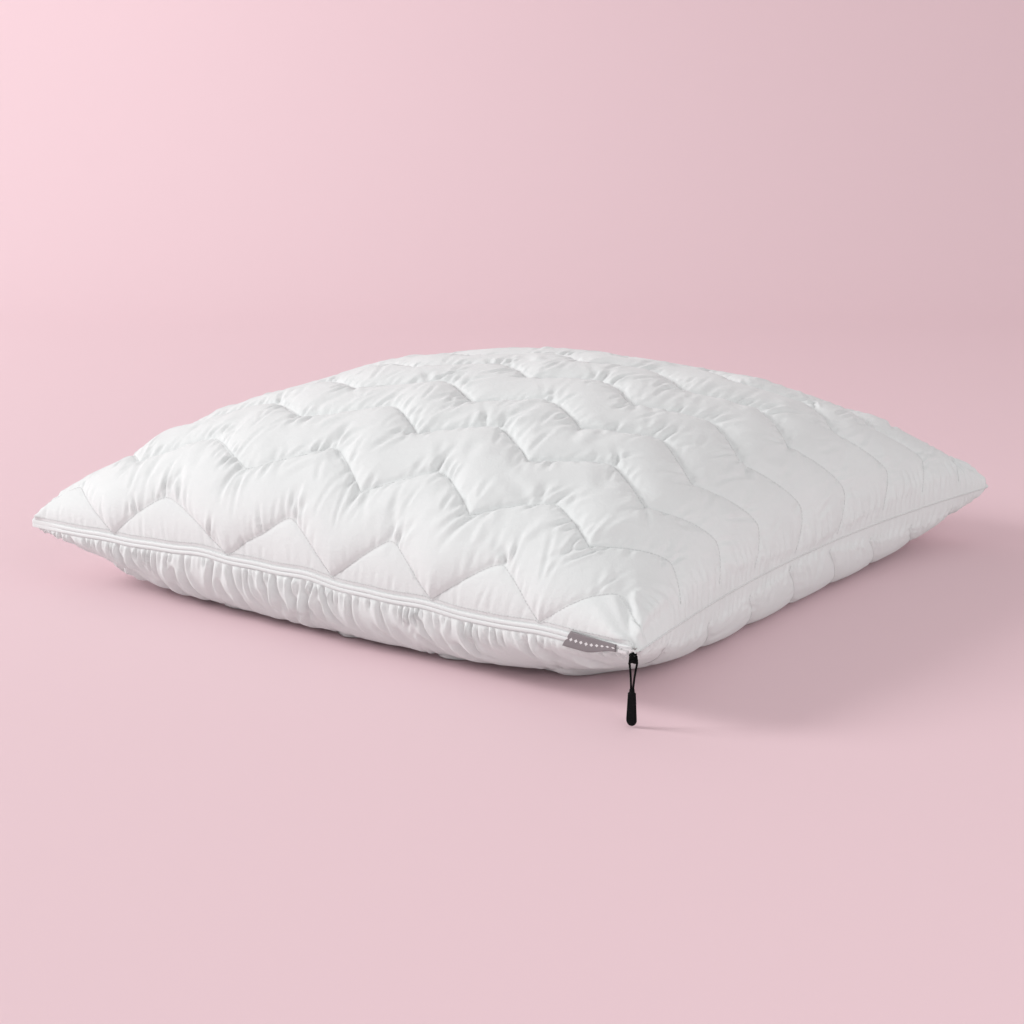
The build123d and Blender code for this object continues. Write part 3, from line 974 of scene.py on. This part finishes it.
def grip_heights(low, high):
    """The heights of the grip's rings: close together where its outline curves."""
    full, bend, shoulder = grip_levels(low, high)
    tip = low.z + (full - low.z) * (1 - np.cos(np.linspace(0, pi / 2, 16)))
    body = np.linspace(full, bend, 44)[1:]
    rounding = bend + SHOULDER_ROUND * np.sin(np.linspace(0, pi / 2, 7))[1:]
    neck = np.linspace(shoulder, high.z, 8)[1:]
    return np.concatenate([tip, body, rounding, neck])


def grip_half_size(z, low, high):
    """Half the grip's width and half its depth at a height."""
    full, bend, shoulder = grip_levels(low, high)
    widest, deep = (high.x - low.x) / 2, (high.y - low.y) / 2
    if z < full:
        share = max(sqrt(max(0.0, 1 - ((full - z) / (full - low.z)) ** 2.2)), 0.1)
        return widest * share, deep * share**0.6
    if z <= bend:
        t = (z - full) / (bend - full)
        return widest + (SHOULDER_HALF_WIDE - widest) * t, deep
    if z <= shoulder:
        t = (z - shoulder + SHOULDER_ROUND) / SHOULDER_ROUND
        drop = 1 - sqrt(max(0.0, 1 - t * t))
        wide = SHOULDER_HALF_WIDE - (SHOULDER_HALF_WIDE - NECK_HALF_WIDE) * drop
        return wide, deep - (deep - NECK_HALF_DEEP) * drop
    return NECK_HALF_WIDE - 0.0003 * (z - shoulder) / NECK_TALL, NECK_HALF_DEEP


def grip():
    """The moulded grip: a flat drop with a ribbed panel sunk in each face, and a neck."""
    low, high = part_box("pull_grip")
    shoulder = grip_levels(low, high)[-1]
    power, sides = 0.55, 72
    turn = np.linspace(0, 2 * pi, sides, endpoint=False)
    rows = []
    for z in grip_heights(low, high):
        wide, thick = grip_half_size(z, low, high)
        x = wide * np.sign(np.cos(turn)) * np.abs(np.cos(turn)) ** power
        y = thick * np.sign(np.sin(turn)) * np.abs(np.sin(turn)) ** power
        beside = (np.abs(x) < wide - GRIP_PANEL_INSET) & (np.abs(y) > 0.8 * thick)
        panel = beside & (low.z + 0.0042 < z < shoulder - 0.0028)
        rib = GRIP_RIB * (1 + sin(2 * pi * z / GRIP_RIB_PITCH))
        y = np.where(panel, y - np.sign(y) * (GRIP_PANEL_SUNK - rib), y)
        rows.append(np.stack([(low.x + high.x) / 2 + x, (low.y + high.y) / 2 + y, np.full_like(x, z)], -1))
    return mesh_object("grip", np.concatenate(rows), closed_tube_faces(len(rows), sides))


cord_piece = finish_piece(cord_curve(), BLACK_CORD, "puller", "pull_cord")
knot_piece = finish_piece(knot(), BLACK_CORD, "puller", "cord_hitch")
grip_piece = finish_piece(grip(), GRIP, "puller", "pull_grip")


# ---- the quilted cover
def flat_map(grid):
    """The panel laid flat, in metres, as texture coordinates."""
    return np.stack([np.broadcast_to(grid["p"], grid["q"].shape), grid["q"]], -1)


def cover_piece(name, side, grid, points, up):
    obj = grid_object(name, points, up, flat_map(grid))
    finish_piece(obj, COVER, "pillow", f"{side}_face_fabric", f"{side}_wadding", f"{side}_backing")


def quilting(name, grid, points, up):
    """The lockstitch thread along every quilting line of a panel."""
    normal = grid_normals(points, up)
    proud = 0.0002
    parts = []
    for row in np.flatnonzero(grid["held"])[1:-1]:
        out = normal[row, 2:-2]
        path = points[row, 2:-2] + out * proud
        parts.append(stitches(path, out, spacing=0.0034, length=0.0027, radius=0.00032))
    finish_piece(joined(name, parts), THREAD_WITH_PAINTED_SHADE, "pillow")


def topstitch(grid, points):
    """The line of stitches just above the zip."""
    above, proud, rows = 0.0042, 0.0003, 14
    columns = range(3, points.shape[1] - 3)
    path = np.array([at_length(points[:rows, k], grid["q"][:rows, k], above) for k in columns])
    out = np.tile((0.0, -0.93, 0.36), (len(path), 1))
    part = stitches(path + out * proud, out, spacing=0.0031, length=0.0023, radius=0.00034)
    finish_piece(joined("zip_topstitch", [part]), THREAD_WITH_PAINTED_SHADE, "pillow")


top_grid, top_points = top_panel()
bottom_grid, bottom_points = bottom_panel()
cover_piece("cover_top", "top", top_grid, top_points, 1)
cover_piece("cover_bottom", "bottom", bottom_grid, bottom_points, -1)
quilting("quilting_top", top_grid, top_points, 1)
quilting("quilting_bottom", bottom_grid, bottom_points, -1)
topstitch(top_grid, top_points)


# ---- the zip
ZIP_START, ZIP_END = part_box("zip_tape_upper")[0].x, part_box("zip_tape_upper")[1].x
COIL_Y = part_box("zip_coil_upper")[0].y


def zip_tape(side, name):
    """One tape, rolled over the cover's edge so that it shows as a smooth ridge."""
    x = np.linspace(-HALF + 0.0082, HALF - TAPE_SHORT, 420)
    z = SEAM_Z + zip_lift(x)
    half = tape_half(x)
    ends_fade = smooth((HALF - 0.004 - x) / 0.03) * smooth((x + HALF - 0.03) / 0.03)
    proud = 0.0002 + 0.0011 * ends_fade
    rows = []
    for angle in pi * np.linspace(0, 1, 17):
        height = 0.00022 + (half - 0.00002) * (1 - cos(angle)) / 2
        out = proud * sin(angle) ** 0.7
        rows.append(np.stack([x, ZIP_Y + 0.0004 - out - 0.0002, z + side * height], -1))
    inner = rows[0] + np.array((0, 0.0045, 0))
    outer = rows[-1] + np.array((0, 0.004, -side * 0.0006))
    points = np.array([inner, *rows, outer])
    obj = grid_object(f"tape_{name}", points, -side)
    thicken(obj, 0.0004)
    finish_piece(obj, TAPE, "pillow", f"zip_tape_{name}")


def zip_coil(side, name):
    """The coil: a continuous helix of monofilament, its loops lying across the centre line."""
    pitch, wire_half = 0.0013, 0.00027
    deep, tall, off_centre = 0.0006, 0.0012, 0.0009
    start, end = ZIP_START + 0.005, ZIP_END - 0.0035
    turns = int((end - start) / pitch)
    t = np.linspace(0, turns, turns * 8 + 1)
    x = start + pitch * (t + (0.5 if side < 0 else 0))
    angle = 2 * pi * t
    y = COIL_Y + 0.0009 + deep * np.cos(angle)
    z = SEAM_Z + zip_lift(x) + side * (off_centre + tall * np.sin(angle))
    coil = tube(np.stack([x, y, z], -1), wire_half, sides=5, guide=(1, 0, 0))
    finish_piece(joined(f"coil_{name}", [coil]), COIL, "pillow", f"zip_coil_{name}")


for side, name in ((1, "upper"), (-1, "lower")):
    zip_tape(side, name)
    zip_coil(side, name)
for name in ("zip_end_stop", "zip_top_stops"):
    dress(name, METAL)
for name in ("slider_body", "slider_bridge", "pull_tab"):
    dress(name, PAINT)


# ---- label, seams, bag and fill
def side_label():
    """A ribbon folded along its length; both edges are sewn in above the zip."""
    low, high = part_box("side_label")
    left, right = low.x, high.x
    s = np.linspace(0, 1, 60)
    top = SEAM_Z + 0.0066 - 0.0034 * s
    tall = 0.0138 - 0.0078 * smooth((s - 0.40) / 0.60)
    gap = 0.0004 + 0.0010 * smooth((s - 0.55) / 0.45)
    slant = 0.0085 * (1 - s)
    rows, uv = [], []
    for t in np.linspace(0, 1, 26):
        drop = 1 - abs(2 * t - 1)
        start = left - 0.004 + slant * (1 - drop)
        x = start + (right - start) * s
        side = 1 if t < 0.5 else -1
        bow = gap * (0.5 - 0.5 * side * np.sqrt(np.clip(1 - drop**2.6, 0, 1)))
        y = ZIP_Y - 0.0013 - bow - 0.0002 * np.sin(5 * s + 2 * drop)
        rows.append(np.stack([x, y, top - tall * drop], -1))
        uv.append(np.stack([s * (right - left), np.full_like(s, 0.0142 * drop)], -1))
    obj = grid_object("woven_label", np.array(rows), 1, np.array(uv))
    thicken(obj, 0.0003)
    finish_piece(obj, LABEL, "pillow", "side_label")


def overlock(name, node_name, path):
    """The overlocked seam: a corded line with a bead for every stitch."""
    short, fine, stitch = 0.004, 0.0005, 0.0032
    arc = run_length(path)
    at = np.arange(short, arc[-1] - short, fine)
    line = at_length(path, arc, at)
    line[:, 2] += 0.00035 * np.sin(2 * pi * at / (2 * stitch))
    bead = 0.00075 + 0.0003 * np.cos(2 * pi * at / stitch)
    finish_piece(joined(name, [tube(line, bead)]), THREAD_WITH_PAINTED_SHADE, "pillow", node_name)


def inner_half(surface, keep, lumpy):
    """A half of the filled bag: the cover's form, drawn in towards the seam."""
    steps = np.sin(np.linspace(-pi / 2, pi / 2, 90))
    u, v = np.meshgrid(steps, steps)
    inside = surface(u, v)
    lumps = 0.0016 * soft_noise(u.shape, (11, 12), 77) * ((1 - u * u) * (1 - v * v))
    inside[..., :2] *= 0.972 - (1 - keep) * 0.3
    inside[..., 2] = SEAM_Z + (inside[..., 2] - SEAM_Z) * keep + lumps * lumpy
    return inside


def inner_bag():
    upper = grid_object("bag_upper", inner_half(top_surface, 0.93, 1), 1)
    finish_piece(upper, TICKING, "pillow", "inner_bag_upper")
    lower = grid_object("bag_lower", inner_half(bottom_surface, 0.87, 0), -1)
    finish_piece(lower, TICKING, "pillow", "inner_bag_lower")
    halves = []
    for surface, keep, up in ((top_surface, 0.91, 1), (bottom_surface, 0.83, -1)):
        points = inner_half(surface, keep, 1 if up > 0 else 0)
        halves.append((points.reshape(-1, 3), grid_faces(*points.shape[:2], up)))
    fill = finish_piece(joined("fill", halves), FIBRE, "pillow", "fibre_fill")


side_label()
overlock("overlock_left", "seam_thread_left", top_points[:, 0])
overlock("overlock_right", "seam_thread_right", top_points[:, -1])
overlock("overlock_back", "seam_thread_back", top_points[-1])
inner_bag()


# ---- stage and light
bpy.context.scene.view_settings.view_transform = "Standard"


def soft_light(name, energy, size, at, towards):
    light = bpy.data.lights.new(name, "AREA")
    light.energy = energy
    light.size = size
    lamp = link(bpy.data.objects.new(name, light))
    lamp.location = at
    lamp.rotation_euler = (Vector(towards) - lamp.location).to_track_quat("-Z", "Y").to_euler()


def studio_light():
    """A dim, even world, a large soft key from the left, a fill from the right and a wash behind."""
    world = bpy.data.worlds.new("world")
    bpy.context.scene.world = world
    world.use_nodes = True
    background = world.node_tree.nodes["Background"]
    background.inputs["Color"].default_value = (1.0, 0.97, 0.975, 1)
    background.inputs["Strength"].default_value = 0.55
    pillow, backdrop = (0, 0, 0.05), (-0.9, 3.6, 1.9)
    soft_light("key", 148, 1.5, (-3.69, -2.43, 2.30), pillow)
    soft_light("fill", 22, 2.2, (2.6, -0.9, 1.35), pillow)
    soft_light("wash", 10, 1.6, (-2.6, 1.0, 2.4), backdrop)


def stage():
    """A floor that curves up into a backdrop behind the pillow, as the camera sees it."""
    away = Vector((-0.587, 0.810, 0))
    across = Vector((0.810, 0.587, 0))
    behind, bend, reach, steps = 1.9, 1.2, 5.0, 24
    profile = [(-reach, 0.0), (behind, 0.0)]
    for k in range(1, steps + 1):
        angle = pi / 2 * k / steps
        profile.append((behind + bend * sin(angle), bend * (1 - cos(angle))))
    profile.append((behind + bend, reach))
    points, faces = [], []
    for k, (out, up) in enumerate(profile):
        for side in (-reach, reach):
            points.append(away * out + across * side + Vector((0, 0, up)))
        if k:
            faces.append((2 * k - 2, 2 * k - 1, 2 * k + 1, 2 * k))
    mesh = bpy.data.meshes.new("floor")
    mesh.from_pydata(points, [], faces)
    mesh.polygons.foreach_set("use_smooth", [True] * len(faces))
    floor = link(bpy.data.objects.new("floor", mesh))
    mesh.materials.append(FLOOR)


stage()
studio_light()
